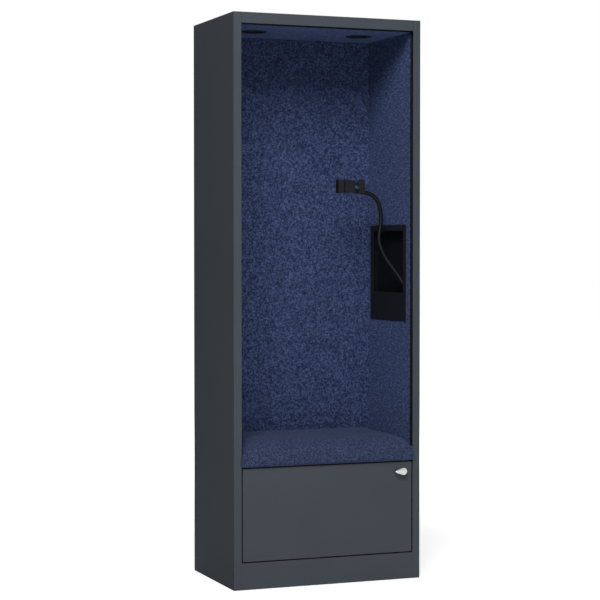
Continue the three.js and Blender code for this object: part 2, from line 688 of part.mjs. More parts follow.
function lockBarrel() {
  const front = -FIT - ESCUTCHEON;
  const body = join(
    barY(ESCUTCHEON_RADIUS, [front, -FIT]),
    barY(BARREL_RADIUS, [-FIT - PAST, BARREL_LENGTH]),
  );
  return cut(body, barY(SPINDLE_RADIUS + FIT, [front - PAST, BARREL_LENGTH + PAST]));
}

function lockNut() {
  const hexagon = new THREE.CylinderGeometry(NUT_FLATS / Math.sqrt(3), NUT_FLATS / Math.sqrt(3), NUT, 6);
  hexagon.translate(0, SHEET + FIT + NUT / 2, 0);
  return cut(hexagon, barY(BARREL_RADIUS + FIT, [0, SHEET + FIT + NUT + PAST]));
}

function lockCam() {
  const front = DECK_FRONT + SHEET + CAM_CLEARANCE;
  const round = CAM_WIDTH / 2;
  const outline = new THREE.Shape();
  outline.absarc(0, 0, round, -Math.PI / 2, Math.PI / 2);
  outline.lineTo(-CAM_LENGTH, round);
  outline.lineTo(-CAM_LENGTH, -round);
  outline.closePath();
  const plate = raised(outline, CAM, { curveSegments: 10 }).rotateX(Math.PI / 2).translate(0, front + CAM, 0);
  return cut(plate, barY(SPINDLE_RADIUS + FIT, [front - PAST, front + CAM + PAST]));
}

function addLock() {
  const lock = new THREE.Group();
  lock.position.set(lockX, 0, lockZ);
  add(lock, 'lock_knob', lockKnob(), CHROME);
  add(lock, 'lock_barrel', lockBarrel(), CHROME);
  add(lock, 'lock_nut', lockNut(), ZINC);
  add(lock, 'lock_cam', lockCam(), ZINC);
  cabinet.add(lock);
}

// Gooseneck: a foot in the pocket tray and three stretches of one curve, joined at two ball knuckles
function addNeck() {
  const trayFloor = trayZ[0] + SHEET;
  const foot = new THREE.Vector3(
    (opening + inside - SHEET) / 2,
    trayY[0] + SHEET + FIT + NECK_BASE_RADIUS,
    trayFloor + FIT,
  );
  const base = turned([
    [0, 0], [NECK_BASE_RADIUS, 0], [NECK_BASE_RADIUS, NECK_BASE_HEIGHT / 3],
    [NECK_RADIUS + 2, NECK_BASE_HEIGHT / 2], [NECK_RADIUS + 2, NECK_BASE_HEIGHT], [0, NECK_BASE_HEIGHT],
  ], 20);
  add(cabinet, 'neck_base', base, BLACK_PAINT).position.copy(foot);

  const neck = new THREE.Group();
  neck.position.copy(foot);
  neck.position.z += NECK_BASE_HEIGHT + FIT;
  cabinet.add(neck);

  const route = routeOf(NECK_ROUTE);
  const stretch = (from, to, steps) => rod(new Stretch(route, from, to), NECK_RADIUS, steps);
  const knuckle = (share, radius) => {
    return new THREE.SphereGeometry(radius, 16, 10).translate(...route.getPointAt(share));
  };
  const root = join(stretch(0, SWING_AT, 16), knuckle(SWING_AT, NECK_RADIUS));
  const middle = cut(stretch(SWING_AT, BEND_AT, 8), knuckle(SWING_AT, NECK_RADIUS + FIT));
  const upper = cut(stretch(BEND_AT, 1, 22), knuckle(BEND_AT, NECK_RADIUS + FIT));
  add(neck, 'neck_root', root, BLACK_PLASTIC);
  add(neck, 'neck_middle', join(middle, knuckle(BEND_AT, NECK_RADIUS)), BLACK_PLASTIC);

  const end = route.getPointAt(1);
  const ball = end.clone();
  ball.y -= BALL_STUD;
  const stud = barY(BALL_STUD_RADIUS, [ball.y, end.y + NECK_RADIUS / 2], 16).translate(end.x, 0, end.z);
  const head = new THREE.SphereGeometry(BALL_RADIUS, 20, 14).translate(...ball);
  add(neck, 'neck_top', join(upper, stud, head), BLACK_PLASTIC);

  const holder = new THREE.Group();
  holder.position.copy(ball);
  neck.add(holder);
  return holder;
}

// Phone clamp, about the middle of the gooseneck's ball
function clampJaw(tongueZ) {
  const inner = HOLDER_GAP / 2 + JAW_PAD + FIT;
  const outer = inner + JAW_WALL;
  const rear = -COLLAR_FRONT - FIT;
  const lipRear = rear - HOUSING.y - PHONE_ROOM;
  const lipFront = lipRear - JAW_LIP;
  const hook = new THREE.Shape();
  hook.moveTo(inner, rear);
  hook.lineTo(inner, lipRear);
  hook.lineTo(inner - JAW_LIP_REACH, lipRear);
  hook.lineTo(inner - JAW_LIP_REACH, lipFront + JAW_CORNER);
  hook.absarc(inner - JAW_LIP_REACH + JAW_CORNER, lipFront + JAW_CORNER, JAW_CORNER, Math.PI, 1.5 * Math.PI);
  hook.lineTo(outer - JAW_CORNER, lipFront);
  hook.absarc(outer - JAW_CORNER, lipFront + JAW_CORNER, JAW_CORNER, -Math.PI / 2, 0);
  hook.lineTo(outer, rear);
  hook.closePath();
  const tongueY = span(rear - HOUSING.y / 2, TONGUE.y);
  return join(
    raised(hook, JAW_HEIGHT).translate(0, 0, -JAW_HEIGHT / 2),
    block([inner - TONGUE.x, inner + PAST], tongueY, span(tongueZ, TONGUE.z)),
  );
}

function addClamp(holder) {
  const collar = cut(
    barY(COLLAR_RADIUS, [-COLLAR_FRONT, COLLAR_REAR]),
    new THREE.SphereGeometry(BALL_RADIUS + FIT, 20, 14),
  );
  add(holder, 'swivel_collar', collar, BLACK_PLASTIC);

  const rear = -COLLAR_FRONT - FIT;
  const housingY = [rear - HOUSING.y, rear];
  const slotY = grow(span(rear - HOUSING.y / 2, TONGUE.y), FIT);
  const slot = (z) => block(span(0, HOUSING.x + 2 * PAST), slotY, grow(span(z, TONGUE.z), FIT));
  const housing = cut(
    block(span(0, HOUSING.x), housingY, span(0, HOUSING.z)),
    slot(TONGUE_OFFSET),
    slot(-TONGUE_OFFSET),
  );
  add(holder, 'clamp_housing', housing, BLACK_PLASTIC);

  const padX = [HOLDER_GAP / 2, HOLDER_GAP / 2 + JAW_PAD];
  const padY = grow([rear - HOUSING.y - PHONE_ROOM, rear - HOUSING.y], -FIT);
  const pad = block(padX, padY, span(0, JAW_HEIGHT - 2 * JAW_CORNER));
  add(holder, 'clamp_jaw_right', clampJaw(TONGUE_OFFSET), BLACK_PLASTIC);
  add(holder, 'clamp_jaw_left', clampJaw(-TONGUE_OFFSET), BLACK_PLASTIC, true);
  addPair(holder, 'jaw_pad', pad, RUBBER);
}

addCarcass();
addFeet();
addLining();
addLamps();
addPower();
addPocket();
addSeat();
addDrawer();
addRunners();
addLock();
addClamp(addNeck());

// The knob reaches in front of the cabinet, so the middle of the footprint lies forward of the cabinet's own
cabinet.position.y = -(DEPTH - KNOB_REACH) / 2;

export default cabinet;
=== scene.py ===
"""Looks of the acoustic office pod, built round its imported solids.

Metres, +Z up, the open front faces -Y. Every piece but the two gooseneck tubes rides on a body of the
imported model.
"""
import json
import math

import bmesh
import bpy
import numpy as np
from mathutils import Matrix, Vector

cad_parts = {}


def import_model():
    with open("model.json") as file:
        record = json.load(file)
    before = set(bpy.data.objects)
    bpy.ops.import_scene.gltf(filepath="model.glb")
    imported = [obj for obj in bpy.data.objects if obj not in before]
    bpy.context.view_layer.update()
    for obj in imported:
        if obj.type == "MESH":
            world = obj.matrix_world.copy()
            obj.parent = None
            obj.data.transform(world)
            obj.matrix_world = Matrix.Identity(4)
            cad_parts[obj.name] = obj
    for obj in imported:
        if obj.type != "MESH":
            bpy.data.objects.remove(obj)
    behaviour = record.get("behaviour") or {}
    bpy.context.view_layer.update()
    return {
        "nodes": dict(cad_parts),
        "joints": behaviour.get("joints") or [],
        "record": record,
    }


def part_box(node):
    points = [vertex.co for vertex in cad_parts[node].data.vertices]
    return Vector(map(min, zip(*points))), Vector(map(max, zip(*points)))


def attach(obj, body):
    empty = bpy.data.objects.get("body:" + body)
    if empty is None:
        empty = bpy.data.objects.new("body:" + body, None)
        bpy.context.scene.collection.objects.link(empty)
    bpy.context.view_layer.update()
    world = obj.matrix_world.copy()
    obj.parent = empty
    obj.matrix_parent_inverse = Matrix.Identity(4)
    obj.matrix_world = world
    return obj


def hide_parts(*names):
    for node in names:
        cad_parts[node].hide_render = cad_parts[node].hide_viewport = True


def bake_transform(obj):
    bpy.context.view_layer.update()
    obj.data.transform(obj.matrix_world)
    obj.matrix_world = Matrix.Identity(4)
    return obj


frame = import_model()
nodes = frame["nodes"]
joints = {joint["name"]: joint for joint in frame["joints"]}
SLOTS = {part["node"]: part["material_slot"] for part in frame["record"]["subparts"]}

MM = 0.001
FIT = 0.3 * MM  # gap between the solids that sit against each other

# Camera, fitted to the edges of the cabinet
CAMERA_PLACE = (-2.3885, -5.9956, 1.1658)
CAMERA_YAW = 21.507
CAMERA_PITCH = 1.590
CAMERA_LENS = 108.14
CAMERA_SENSOR = 36.0

# Light levels
WORLD_FILL = 0.02
KEY_POWER = 252.0
KEY_SIZE = 2.0
KEY_PLACE = (-1.8, -3.7, 4.4)
LOW_FILL_POWER = 33.0  # a soft light near the floor that reaches the ceiling of the niche
LOW_FILL_SIZE = 1.2
LOW_FILL_PLACE = (-0.2, -3.0, 0.3)
REAR_POWER = 150.0  # a soft light behind the cabinet, so that its back isn't black
REAR_SIZE = 2.4
REAR_PLACE = (1.4, 4.4, 3.6)
AIM = (0.0, 0.0, 0.95)
FLOOR_SIZE = 40.0
FLOOR_COLOUR = 0.8
FLOOR_GLOW = 0.52  # lifts the floor to white for the camera, less where the object shades it
FLOOR_FADE = (1.0, 3.5)  # distances between which the floor fades to plain white

# Folded edges and soft edges
SHEET_EDGE = 0.5 * MM
PLASTIC_EDGE = 0.8 * MM
FELT_EDGE = 3.0 * MM

# Gooseneck
NECK_RADIUS = 7.25 * MM
NECK_SIDES = 28
NECK_STEP = 4.0 * MM
NECK_SPLIT = 0.45  # share of its length where the lower piece hands over to the upper one
NECK_SPAN_STEPS = 12  # points of the curve from one point of the route to the next
NECK_ROUTE = (
    (0, 0, 0), (0, 0, 38), (-1, 3, 77), (-5.5, 11, 100), (-12.5, 19, 114), (-19, 29, 132),
    (-37, 46, 164), (-55, 62, 196), (-68.5, 76, 233), (-72, 87, 265), (-67, 93, 293),
    (-60, 98, 325), (-57.5, 102, 353), (-61, 105, 381), (-70, 107, 406), (-84, 109, 422),
    (-104, 110, 432), (-123, 111.5, 434.5), (-150, 113.5, 440), (-172, 113, 448),
    (-187, 109.5, 453), (-194.3, 102.5, 453.7), (-195, 95, 453.7),
)

# Sides of turned pieces
STUD_SIDES = 40
KNOB_SIDES = 40
COLLAR_SIDES = 96
LAMP_SIDES = 96
LENS_SIDES = 72
SCREW_SIDES = 24


# Materials
class Shader:
    """A procedural material whose textures are placed in the object's own metres."""

    def __init__(self, name, roughness, metallic=0.0, specular=0.5, sheen=0.0, coat=0.0):
        self.material = bpy.data.materials.new(name)
        self.material.use_nodes = True
        self.nodes = self.material.node_tree.nodes
        self.links = self.material.node_tree.links
        self.surface = self.nodes["Principled BSDF"]
        self.surface.inputs["Roughness"].default_value = roughness
        self.surface.inputs["Metallic"].default_value = metallic
        self.surface.inputs["Specular IOR Level"].default_value = specular
        self.surface.inputs["Sheen Weight"].default_value = sheen
        self.surface.inputs["Coat Weight"].default_value = coat
        self.place = self.nodes.new("ShaderNodeTexCoord").outputs["Object"]

    def stretched(self, stretch):
        mapping = self.nodes.new("ShaderNodeMapping")
        mapping.inputs["Scale"].default_value = stretch
        self.links.new(self.place, mapping.inputs["Vector"])
        return mapping.outputs["Vector"]

    def noise(self, size, detail=2.0, stretch=(1, 1, 1), distortion=0.0):
        """Noise whose grains are about size metres across."""
        texture = self.nodes.new("ShaderNodeTexNoise")
        texture.inputs["Scale"].default_value = 1 / size
        texture.inputs["Detail"].default_value = detail
        texture.inputs["Distortion"].default_value = distortion
        self.links.new(self.stretched(stretch), texture.inputs["Vector"])
        return texture.outputs["Fac"]

    def cells(self, size):
        """Distance to the nearest of many scattered points, about size metres apart."""
        texture = self.nodes.new("ShaderNodeTexVoronoi")
        texture.inputs["Scale"].default_value = 1 / size
        self.links.new(self.place, texture.inputs["Vector"])
        return texture.outputs["Distance"]

    def waves(self, size, direction, distortion):
        """Sine bands, size metres apart, along X, Y or Z."""
        texture = self.nodes.new("ShaderNodeTexWave")
        texture.bands_direction = direction
        texture.inputs["Scale"].default_value = math.pi / (10 * size)
        texture.inputs["Distortion"].default_value = distortion
        self.links.new(self.place, texture.inputs["Vector"])
        return texture.outputs["Fac"]

    def combine(self, operation, first, second):
        node = self.nodes.new("ShaderNodeMath")
        node.operation = operation
        for socket, value in zip(node.inputs, (first, second)):
            if isinstance(value, float):
                socket.default_value = value
            else:
                self.links.new(value, socket)
        return node.outputs["Value"]

    def blend(self, *parts):
        """Weighted sum of (value, weight) pairs."""
        total = 0.0
        for value, weight in parts:
            total = self.combine("ADD", self.combine("MULTIPLY", value, weight), total)
        return total

    def ramp(self, value, *stops):
        """Colours at places from 0 to 1."""
        node = self.nodes.new("ShaderNodeValToRGB")
        elements = node.color_ramp.elements
        while len(elements) < len(stops):
            elements.new(1.0)
        for element, (position, colour) in zip(elements, stops):
            element.position = position
            element.color = (*colour, 1.0)
        self.links.new(value, node.inputs["Fac"])
        return node.outputs["Color"]

    def mixed(self, share, first, second):
        """Two colours, with a share of the second. The colour sockets are 6, 7 and 2."""
        node = self.nodes.new("ShaderNodeMix")
        node.data_type = "RGBA"
        node.inputs["Factor"].default_value = share
        self.links.new(first, node.inputs[6])
        self.links.new(second, node.inputs[7])
        return node.outputs[2]

    def colour(self, value):
        self.links.new(value, self.surface.inputs["Base Color"])

    def roughness(self, value, low, high):
        node = self.nodes.new("ShaderNodeMapRange")
        node.inputs["To Min"].default_value = low
        node.inputs["To Max"].default_value = high
        self.links.new(value, node.inputs["Value"])
        self.links.new(node.outputs["Result"], self.surface.inputs["Roughness"])

    def bump(self, height, depth, strength):
        """Relief of the given depth in metres, laid over any relief that is there already."""
        node = self.nodes.new("ShaderNodeBump")
        node.inputs["Strength"].default_value = strength
        node.inputs["Distance"].default_value = depth
        self.links.new(height, node.inputs["Height"])
        normal = self.surface.inputs["Normal"]
        if normal.is_linked:
            self.links.new(normal.links[0].from_socket, node.inputs["Normal"])
        self.links.new(node.outputs["Normal"], normal)


def shade(colour, factor):
    return tuple(channel * factor for channel in colour)


def powder_coat(name, colour, roughness, specular):
    """Fine-texture powder coat: orange peel, a faint cloudiness and grains that catch the light."""
    shader = Shader(name, roughness, specular=specular)
    cloud = shader.noise(0.22, detail=3.0)
    grain = shader.noise(0.9 * MM, detail=2.0)
    tint = shader.ramp(cloud, (0.3, shade(colour, 0.93)), (0.7, shade(colour, 1.07)))
    speckle = shader.ramp(grain, (0.35, shade(colour, 0.86)), (0.65, shade(colour, 1.14)))
    shader.colour(shader.mixed(0.4, tint, speckle))
    shader.roughness(grain, roughness - 0.06, roughness + 0.08)
    shader.bump(grain, 0.12 * MM, 0.35)
    return shader.material


def felt(name, dark, middle, light):
    """Melange needle felt: blotches of two dyed wools, single light hairs and a matted surface."""
    shader = Shader(name, 0.95, specular=0.1, sheen=0.45)
    shader.surface.inputs["Sheen Roughness"].default_value = 0.5
    shader.surface.inputs["Sheen Tint"].default_value = (*shade(light, 2.0), 1.0)
    lie = (1.0, 0.36, 1.0)  # the fibres lie along the depth of the niche
    cloud = shader.noise(30 * MM, detail=2.0)
    blotch = shader.noise(6.2 * MM, detail=2.0, stretch=lie, distortion=0.6)
    fleck = shader.noise(2.6 * MM, detail=3.0, stretch=lie, distortion=1.2)
    hair = shader.noise(1.1 * MM, detail=2.0, stretch=(1.0, 0.35, 0.35), distortion=2.0)
    wool = shader.blend((cloud, 0.08), (blotch, 0.62), (fleck, 0.30))
    base = shader.ramp(wool, (0.39, dark), (0.5, middle), (0.615, light))
    hairs = shader.ramp(hair, (0.52, middle), (0.72, shade(light, 1.5)))
    shader.colour(shader.mixed(0.18, base, hairs))
    shader.bump(shader.noise(0.16, detail=2.0), 2.0 * MM, 0.25)
    shader.bump(fleck, 0.9 * MM, 0.5)
    shader.bump(hair, 0.5 * MM, 0.5)
    return shader.material


def woven_wool(name, dark, middle, light):
    """Melange wool cloth: a plain weave of mixed yarns under a short nap, with painted shade between
    the threads.
    """
    shader = Shader(name, 0.92, specular=0.1, sheen=0.5)
    shader.surface.inputs["Sheen Roughness"].default_value = 0.5
    shader.surface.inputs["Sheen Tint"].default_value = (*shade(light, 2.0), 1.0)
    blotch = shader.noise(5.5 * MM, detail=4.0, distortion=0.5)
    yarn = shader.noise(2.0 * MM, detail=3.0, stretch=(0.5, 1.0, 1.0), distortion=0.8)
    nap = shader.noise(0.9 * MM, detail=2.0, distortion=1.5)
    pitch = 1.5 * MM
    across = shader.waves(pitch, "X", 0.4)
    along = shader.combine("MAXIMUM", shader.waves(pitch, "Y", 0.4), shader.waves(pitch, "Z", 0.4))
    weave = shader.combine("MULTIPLY", across, along)
    wool = shader.blend((blotch, 0.5), (yarn, 0.5))
    base = shader.ramp(wool, (0.41, dark), (0.5, middle), (0.60, light))
    # The weave's colour is painted shade and light: darker in the gaps between the threads, lighter
    # on the raised crossings.
    threads_with_gap_shade = shader.ramp(weave, (0.0, shade(middle, 0.55)), (0.8, shade(light, 1.1)))
    shader.colour(shader.mixed(0.3, base, threads_with_gap_shade))
    shader.bump(weave, 0.35 * MM, 0.6)
    shader.bump(nap, 0.4 * MM, 0.4)
    return shader.material


def moulded_plastic(name, colour, roughness, specular):
    """Moulded plastic with a fine spark-eroded grain."""
    shader = Shader(name, roughness, specular=specular)
    grain = shader.cells(0.7 * MM)
    cloud = shader.noise(25 * MM, detail=3.0)
    shader.colour(shader.ramp(cloud, (0.3, shade(colour, 0.85)), (0.7, shade(colour, 1.2))))
    shader.roughness(cloud, roughness - 0.06, roughness + 0.08)
    shader.bump(grain, 0.06 * MM, 0.4)
    return shader.material


def rubber(name, colour):
    """Matt rubber, slightly dusty."""
    shader = Shader(name, 0.85, specular=0.1)
    dust = shader.noise(6 * MM, detail=5.0)
    shader.colour(shader.ramp(dust, (0.35, colour), (0.75, shade(colour, 2.0))))
    shader.roughness(dust, 0.75, 0.95)
    shader.bump(shader.noise(0.8 * MM), 0.1 * MM, 0.5)
    return shader.material


def polished_metal(name, colour, roughness):
    """Bright plated metal with hairline polishing marks."""
    shader = Shader(name, roughness, metallic=1.0)
    marks = shader.noise(0.4 * MM, detail=3.0, stretch=(1.0, 0.05, 1.0))
    haze = shader.noise(9 * MM, detail=2.0)
    shader.colour(shader.ramp(haze, (0.3, shade(colour, 0.94)), (0.7, colour)))
    shader.roughness(shader.combine("MULTIPLY", marks, haze), roughness * 0.6, roughness * 2.2)
    shader.bump(marks, 0.01 * MM, 0.3)
    return shader.material


def zinc_plate(name, colour):
    """Zinc-plated steel: cloudy plating over rolling lines."""
    shader = Shader(name, 0.38, metallic=1.0)
    cloud = shader.noise(14 * MM, detail=5.0, distortion=0.8)
    lines = shader.noise(1.2 * MM, detail=2.0, stretch=(1.0, 0.03, 1.0))
    warm = (colour[0] * 1.02, colour[1], colour[2] * 0.9)
    shader.colour(shader.ramp(cloud, (0.3, shade(colour, 0.75)), (0.55, warm), (0.8, colour)))
    shader.roughness(cloud, 0.28, 0.52)
    shader.bump(lines, 0.03 * MM, 0.4)
    return shader.material


def plywood(name, face, ply):
    """Film-faced plywood: long grain and plies that show through a dark film."""
    shader = Shader(name, 0.6, specular=0.3)
    grain = shader.noise(9 * MM, detail=6.0, stretch=(0.08, 1.0, 1.0), distortion=0.5)
    plies = shader.waves(2.4 * MM, "Z", 0.3)
    wood = shader.ramp(grain, (0.3, shade(face, 0.75)), (0.7, face))
    edge = shader.ramp(plies, (0.3, ply), (0.7, face))
    shader.colour(shader.mixed(0.35, wood, edge))
    shader.bump(grain, 0.2 * MM, 0.3)
    return shader.material


def absorber_fleece(name, colour):
    """Pressed grey fleece."""
    shader = Shader(name, 1.0, specular=0.1)
    clump = shader.noise(4 * MM, detail=5.0, distortion=1.0)
    shader.colour(shader.ramp(clump, (0.3, shade(colour, 0.5)), (0.7, shade(colour, 1.8))))
    shader.bump(clump, 1.2 * MM, 0.7)
    return shader.material


def smoked_lens(name, colour):
    """Smoked diffuser with a faint moulded ripple."""
    shader = Shader(name, 0.28, specular=0.5, coat=0.2)
    ripple = shader.noise(2 * MM, detail=2.0)
    shader.colour(shader.ramp(ripple, (0.3, shade(colour, 0.8)), (0.7, shade(colour, 1.3))))
    shader.roughness(ripple, 0.22, 0.36)
    shader.bump(ripple, 0.05 * MM, 0.4)
    return shader.material


NAVY_DARK = (0.003, 0.005, 0.016)
NAVY = (0.0232, 0.0345, 0.086)
NAVY_LIGHT = (0.068, 0.095, 0.202)
CLOTH_NAVY = (0.019, 0.026, 0.063)
CLOTH_LIGHT = (0.064, 0.081, 0.155)

MATERIALS = {
    "steel_paint": powder_coat("anthracite_powder_coat", (0.054, 0.062, 0.074), 0.7, 0.02),
    "black_paint": powder_coat("black_powder_coat", (0.011, 0.013, 0.016), 0.65, 0.05),
    "neck_cover": moulded_plastic("gooseneck_cover", (0.005, 0.005, 0.006), 0.45, specular=0.08),
    "zinc": zinc_plate("zinc_plate", (0.46, 0.47, 0.48)),
    "chrome": polished_metal("polished_chrome", (0.50, 0.51, 0.52), 0.18),
    "felt": felt("navy_melange_felt", NAVY_DARK, NAVY, NAVY_LIGHT),
    "seat_cloth": woven_wool("navy_melange_cloth", NAVY_DARK, CLOTH_NAVY, CLOTH_LIGHT),
    "foam": absorber_fleece("absorber_fleece", (0.045, 0.045, 0.05)),
    "plywood": plywood("film_faced_plywood", (0.026, 0.020, 0.017), (0.014, 0.010, 0.008)),
    "black_plastic": moulded_plastic(
        "black_moulded_plastic", (0.008, 0.008, 0.009), 0.5, specular=0.1
    ),
    "rubber": rubber("black_rubber", (0.011, 0.011, 0.011)),
    "lens": smoked_lens("smoked_diffuser", (0.022, 0.024, 0.028)),
}
# Darker black for the pocket tray: painted shade, standing for the shadow deep inside the pocket.
POCKET_SHADE_BLACK = powder_coat("pocket_painted_shade_black", (0.005, 0.0063, 0.008), 0.9, 0.05)


# Meshes
def centre(node):
    low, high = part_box(node)
    return (Vector(low) + Vector(high)) / 2


def piece(name, bm, slot, body, sharp=35.0):
    """Turns a bmesh into a shaded piece that rides on a body."""
    mesh = bpy.data.meshes.new(name)
    bmesh.ops.recalc_face_normals(bm, faces=bm.faces)
    bm.to_mesh(mesh)
    bm.free()
    mesh.polygons.foreach_set("use_smooth", [True] * len(mesh.polygons))
    mesh.set_sharp_from_angle(angle=math.radians(sharp))
    mesh.materials.append(MATERIALS[slot])
    thing = bpy.data.objects.new(name, mesh)
    bpy.context.scene.collection.objects.link(thing)
    if body:
        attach(thing, body)
    return thing


def loft(bm, rings, close_start=True, close_end=True):
    """Skins a row of rings, each a list of points; a ring of one point is a tip."""
    made = [[bm.verts.new(point) for point in ring] for ring in rings]
    for first, second in zip(made, made[1:]):
        count = max(len(first), len(second))
        for i in range(count):
            j = (i + 1) % count
            near = [first[i % len(first)], first[j % len(first)]]
            far = [second[j % len(second)], second[i % len(second)]]
            bm.faces.new(list(dict.fromkeys(near + far)))
    if close_start and len(made[0]) > 2:
        bm.faces.new(made[0][::-1])
    if close_end and len(made[-1]) > 2:
        bm.faces.new(made[-1])


def circle(radius, count):
    turn = 2 * math.pi / count
    return [(radius * math.cos(i * turn), radius * math.sin(i * turn)) for i in range(count)]


def revolved(profile, count, wobble=None):
    """A bmesh turned about Z from (radius, height) pairs. wobble may vary a radius round the ring."""
    bm = bmesh.new()
    rings = []
    for radius, height in profile:
        if radius < 1e-6:
            rings.append([(0, 0, height)])
            continue
        ring = circle(1.0, count)
        sizes = [wobble(radius, i) if wobble else radius for i in range(count)]
        rings.append([(x * size, y * size, height) for (x, y), size in zip(ring, sizes)])
    closed = profile[0] == profile[-1]
    loft(bm, rings, not closed, not closed)
    if closed:
        bmesh.ops.remove_doubles(bm, verts=bm.verts, dist=1e-7)
    return bm


def rounded_step(corner_from, corner, corner_to, radius, steps):
    """Points of a rounded corner on a profile."""
    corner = Vector(corner)
    start = corner + (Vector(corner_from) - corner).normalized() * radius
    end = corner + (Vector(corner_to) - corner).normalized() * radius
    points = []
    for i in range(steps + 1):
        t = i / steps
        points.append(tuple(start * (1 - t) ** 2 + corner * 2 * t * (1 - t) + end * t * t))
    return points


def moved(bm, place, turn=None):
    """Puts a bmesh in place, turned first if asked."""
    matrix = Matrix.Translation(place)
    if turn:
        matrix = matrix @ turn
    bmesh.ops.transform(bm, matrix=matrix, verts=bm.verts)
    return bm


TO_Y = Matrix.Rotation(-math.pi / 2, 4, "X")  # turns +Z to +Y


def add_to(whole, part):
    """Adds a bmesh to another one and frees it."""
    mesh = bpy.data.meshes.new("part")
    part.to_mesh(mesh)
    part.free()
    whole.from_mesh(mesh)
    bpy.data.meshes.remove(mesh)


def cad_copy(node):
    """A bmesh of a solid with its vertices joined and its flat faces whole."""
    bm = bmesh.new()
    bm.from_mesh(nodes[node].data)
    bmesh.ops.remove_doubles(bm, verts=bm.verts, dist=0.01 * MM)
    bmesh.ops.dissolve_limit(bm, angle_limit=math.radians(1), verts=bm.verts, edges=bm.edges)
    return bm


def rounded_edges(thing, width, segments):
    bevel = thing.modifiers.new("rounded_edges", "BEVEL")
    bevel.width = width
    bevel.segments = segments
    bevel.limit_method = "ANGLE"
    bevel.angle_limit = math.radians(30)
    flat = thing.modifiers.new("flat_faces", "WEIGHTED_NORMAL")
    flat.weight = 100


# Solids that stay, with softened edges and a finished material
def dress_solid(node):
    solid = nodes[node]
    slot = SLOTS[node]
    solid.data.materials.clear()
    solid.data.materials.append(MATERIALS[slot])
    solid.data.polygons.foreach_set("use_smooth", [True] * len(solid.data.polygons))
    weld = solid.modifiers.new("joined_vertices", "WELD")
    weld.merge_threshold = 0.01 * MM
    sheet = slot in ("steel_paint", "black_paint", "zinc")
    rounded_edges(solid, SHEET_EDGE if sheet else PLASTIC_EDGE, 2)


def dress_solids():
    for node in nodes:
        dress_solid(node)
    # The pocket tray takes the darker black, as painted shade inside the pocket.
    nodes["pocket_tray"].data.materials[0] = POCKET_SHADE_BLACK


# Felt panels with rolled edges
def felt_panel(node):
    panel = piece(f"{node}_soft", cad_copy(node), "felt", "cabinet")
    rounded_edges(panel, FELT_EDGE, 4)
    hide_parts(node)


def felt_panels():
    for node in ("felt_panel_left", "felt_panel_right", "felt_panel_back", "felt_panel_ceiling"):
        felt_panel(node)


# Seat cushion, blown up as cloth inside the space of its solid
CUSHION_VOXEL = 5.0 * MM
CUSHION_SHRINK = (0.996, 0.996, 0.95)
CUSHION_FRAMES = 20
CUSHION_CAP = 9.0 * MM  # farthest that a point moves when it is blown up
CUSHION_HELD = 6.0 * MM  # height of the part that the seat board holds
CUSHION_RISE = 2.0 * MM  # how far its crown may stand over the solid
CUSHION_LAP = 10.0 * MM  # how far its front laps the edges of the stiles
LAP_DISTANCES = (1.0 * MM, 5.0 * MM)  # the lap grows between these distances from the stiles
LAP_SHARES = (0.90, 0.98)  # and between these shares of the half width
CUSHION_ROUNDS = 4  # rounds of smoothing after it is blown up


def cushion_cloth(cushion, floor):
    """Places of the cushion's points once pressure has blown it up as cloth."""
    held = cushion.vertex_groups.new(name="held")
    bottom = [v.index for v in cushion.data.vertices if v.co.z < floor + CUSHION_HELD]
    held.add(bottom, 1.0, "REPLACE")
    cloth = cushion.modifiers.new("cloth", "CLOTH")
    settings = cloth.settings
    settings.quality = 6
    settings.mass = 0.3
    settings.tension_stiffness = 12
    settings.compression_stiffness = 12
    settings.bending_stiffness = 0.6
    settings.use_pressure = True
    settings.uniform_pressure_force = 4.0
    settings.vertex_group_mass = "held"
    settings.effector_weights.gravity = 0.0
    cloth.point_cache.frame_start = 1
    cloth.point_cache.frame_end = CUSHION_FRAMES
    scene = bpy.context.scene
    for number in range(1, CUSHION_FRAMES + 1):
        scene.frame_set(number)
    blown = cushion.evaluated_get(bpy.context.evaluated_depsgraph_get())
    after = np.array([v.co for v in blown.data.vertices])
    cushion.modifiers.remove(cloth)
    scene.frame_set(1)
    return after


def smooth_step(values, start, end):
    share = np.clip((values - start) / (end - start), 0.0, 1.0)
    return share * share * (3 - 2 * share)


def vertex_places(mesh):
    return np.array([v.co for v in mesh.vertices])


def place_vertices(mesh, points):
    mesh.vertices.foreach_set("co", points.astype(np.float32).ravel())
    mesh.update()


def relax(mesh, rounds):
    bm = bmesh.new()
    bm.from_mesh(mesh)
    for _ in range(rounds):
        bmesh.ops.smooth_vert(
            bm, verts=bm.verts, factor=0.5, use_axis_x=True, use_axis_y=True, use_axis_z=True
        )
    bm.to_mesh(mesh)
    bm.free()


def let_out_front(mesh, half_width):
    """Widens what hangs in front of the stiles, so that it laps their edges."""
    stile_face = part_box("side_panel_left")[0][1]
    points = vertex_places(mesh)
    in_front = smooth_step(stile_face - points[:, 1], *LAP_DISTANCES)
    at_end = smooth_step(np.abs(points[:, 0]) / half_width, *LAP_SHARES)
    points[:, 0] += np.sign(points[:, 0]) * CUSHION_LAP * in_front * at_end
    place_vertices(mesh, points)


def cushion_blank(low, high):
    """The solid, drawn in a little and cut into small even faces."""
    cushion = piece("seat_cushion_soft", cad_copy("seat_cushion"), "seat_cloth", None, sharp=180.0)
    middle = (low + high) / 2
    middle.z = low.z
    shrink = Matrix.Diagonal((*CUSHION_SHRINK, 1.0))
    cushion.data.transform(Matrix.Translation(middle) @ shrink @ Matrix.Translation(-middle))
    bpy.context.view_layer.objects.active = cushion
    cushion.data.remesh_voxel_size = CUSHION_VOXEL
    with bpy.context.temp_override(object=cushion, active_object=cushion):
        bpy.ops.object.voxel_remesh()
    return cushion


